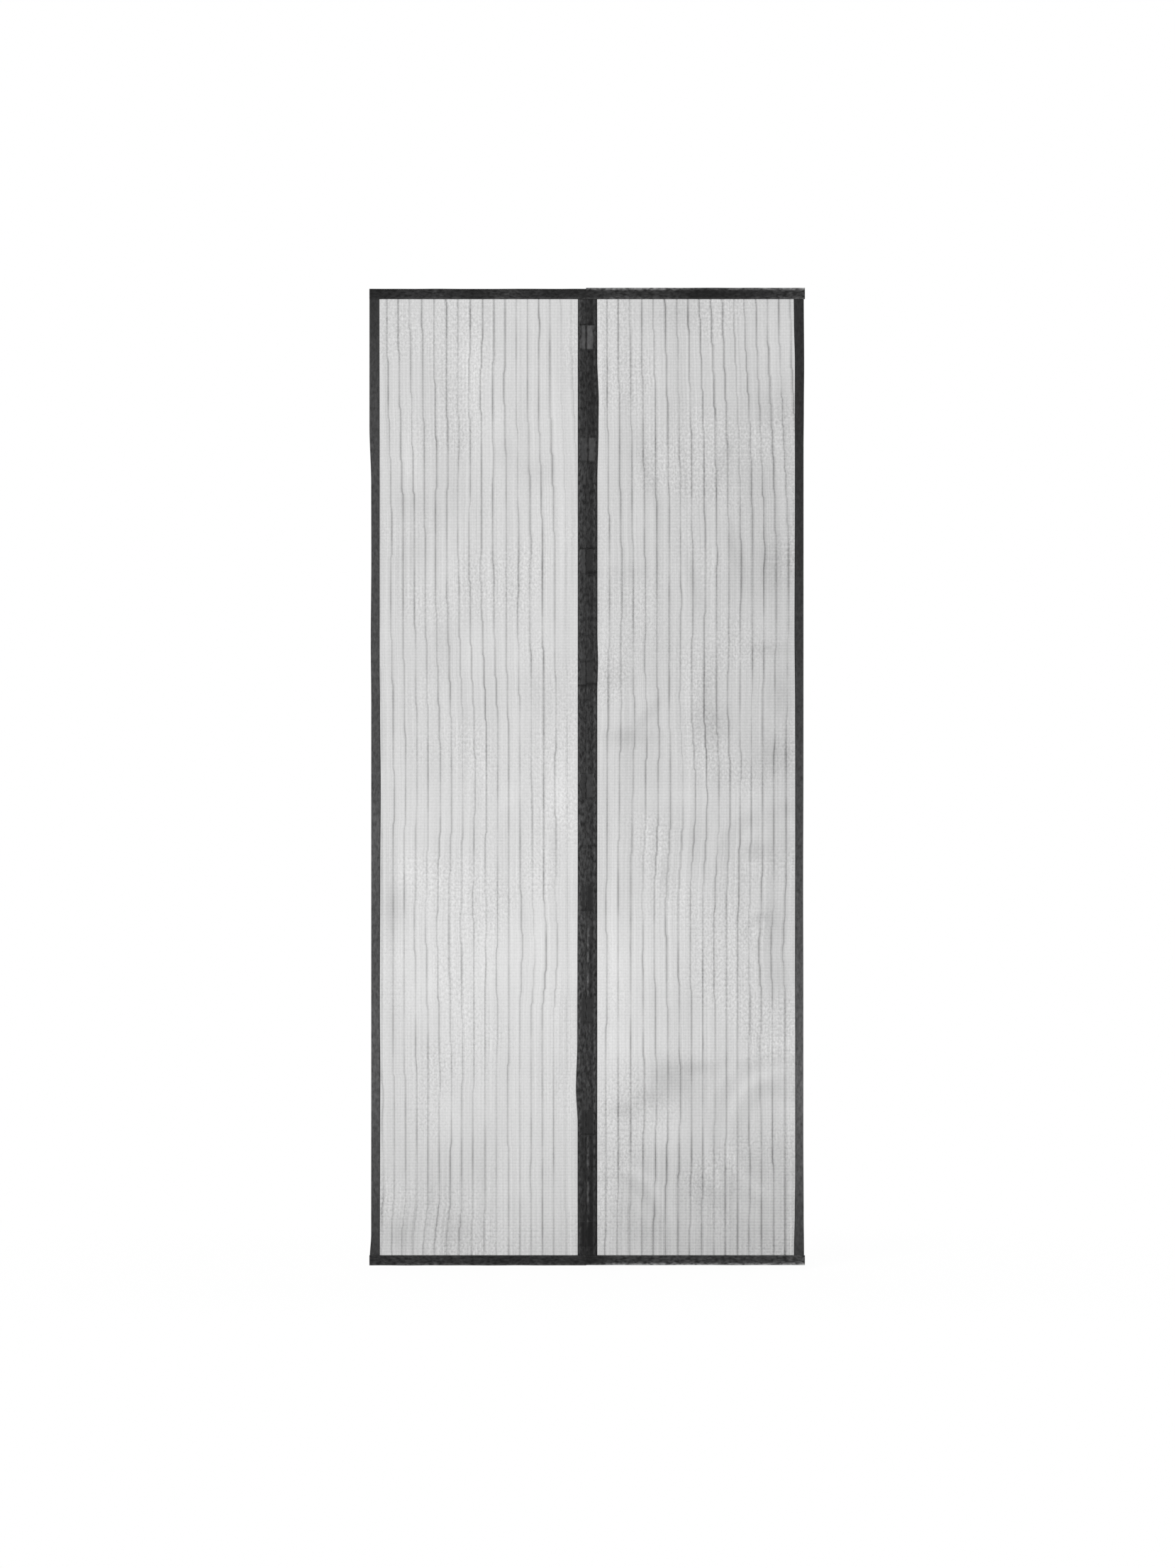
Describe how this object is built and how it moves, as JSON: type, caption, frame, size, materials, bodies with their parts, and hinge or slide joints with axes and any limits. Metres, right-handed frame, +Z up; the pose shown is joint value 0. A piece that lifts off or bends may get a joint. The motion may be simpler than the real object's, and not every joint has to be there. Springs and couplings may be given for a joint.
{
  "type": "door insect screen",
  "caption": "Insect screen for a doorway: net panels bound in folded tape that hang side by side and close edge to edge on magnets",
  "frame": {"origin": "middle of the head hook strip's adhesive face, which is fixed to the door frame", "axes": "+X to the right as seen from in front, +Y to the back, into the frame, +Z up"},
  "size_m": [0.9804, 0.0067, 2.2],
  "materials": {
    "net_cloth": "open knitted polyester net, matt, see-through",
    "binding_tape": "woven polyester tape, matt",
    "closing_tape": "woven polyester tape, slight sheen over the magnets",
    "magnet": "coated ferrite bar, satin",
    "hook_tape": "hook tape with an adhesive back",
    "loop_tape": "brushed loop pile"
  },
  "bodies": {
    "root": {"left_net": "net_cloth", "left_side_binding": "binding_tape", "left_head_binding": "binding_tape", "left_hem_binding": "binding_tape", "left_closing_tape": "closing_tape", "left_head_loop_strip": "loop_tape", "left_side_loop_strip": "loop_tape", "left_magnet_1": "magnet", "left_magnet_2": "magnet", "left_magnet_3": "magnet", "left_magnet_4": "magnet", "left_magnet_5": "magnet", "left_magnet_6": "magnet", "left_magnet_7": "magnet", "left_magnet_8": "magnet", "left_magnet_9": "magnet", "right_net": "net_cloth", "right_side_binding": "binding_tape", "right_head_binding": "binding_tape", "right_hem_binding": "binding_tape", "right_closing_tape": "closing_tape", "right_head_loop_strip": "loop_tape", "right_side_loop_strip": "loop_tape", "right_magnet_1": "magnet", "right_magnet_2": "magnet", "right_magnet_3": "magnet", "right_magnet_4": "magnet", "right_magnet_5": "magnet", "right_magnet_6": "magnet", "right_magnet_7": "magnet", "right_magnet_8": "magnet", "right_magnet_9": "magnet", "head_hook_strip": "hook_tape", "left_jamb_hook_strip": "hook_tape", "right_jamb_hook_strip": "hook_tape"}
  },
  "joints": []
}
